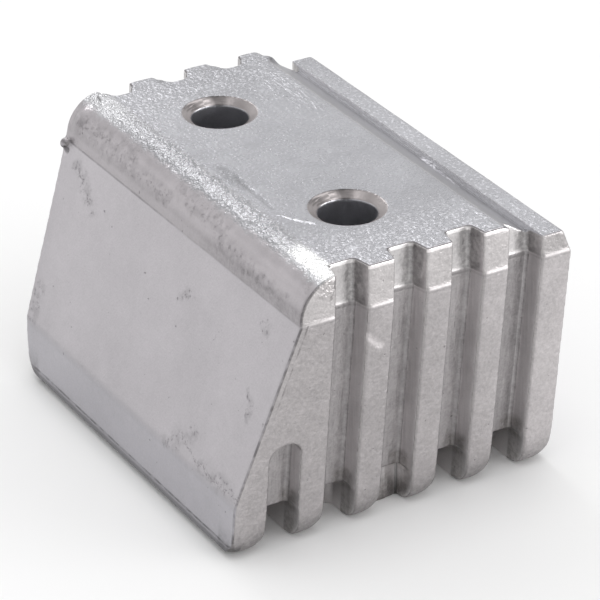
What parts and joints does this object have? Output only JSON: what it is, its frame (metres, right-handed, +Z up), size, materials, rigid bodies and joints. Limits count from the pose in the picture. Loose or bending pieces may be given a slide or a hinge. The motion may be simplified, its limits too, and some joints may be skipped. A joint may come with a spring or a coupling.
{
  "type": "sacrificial anode",
  "caption": "Finned block anode with a flat raised seat on top, a leaning smooth front face, grooved ends and two countersunk through holes for its bolts.",
  "frame": {"origin": "centre of the block's base, at the feet of the fins", "axes": "+X along the line of the two bolt holes, +Y towards the rear flange and away from the leaning front face, +Z up through the seating plateau"},
  "size_m": [0.0732, 0.0571, 0.0457],
  "materials": {
    "cast_alloy": "die-cast alloy, satin with a fine blasted grain on the top"
  },
  "bodies": {
    "root": {"anode_block": "cast_alloy"}
  },
  "joints": []
}
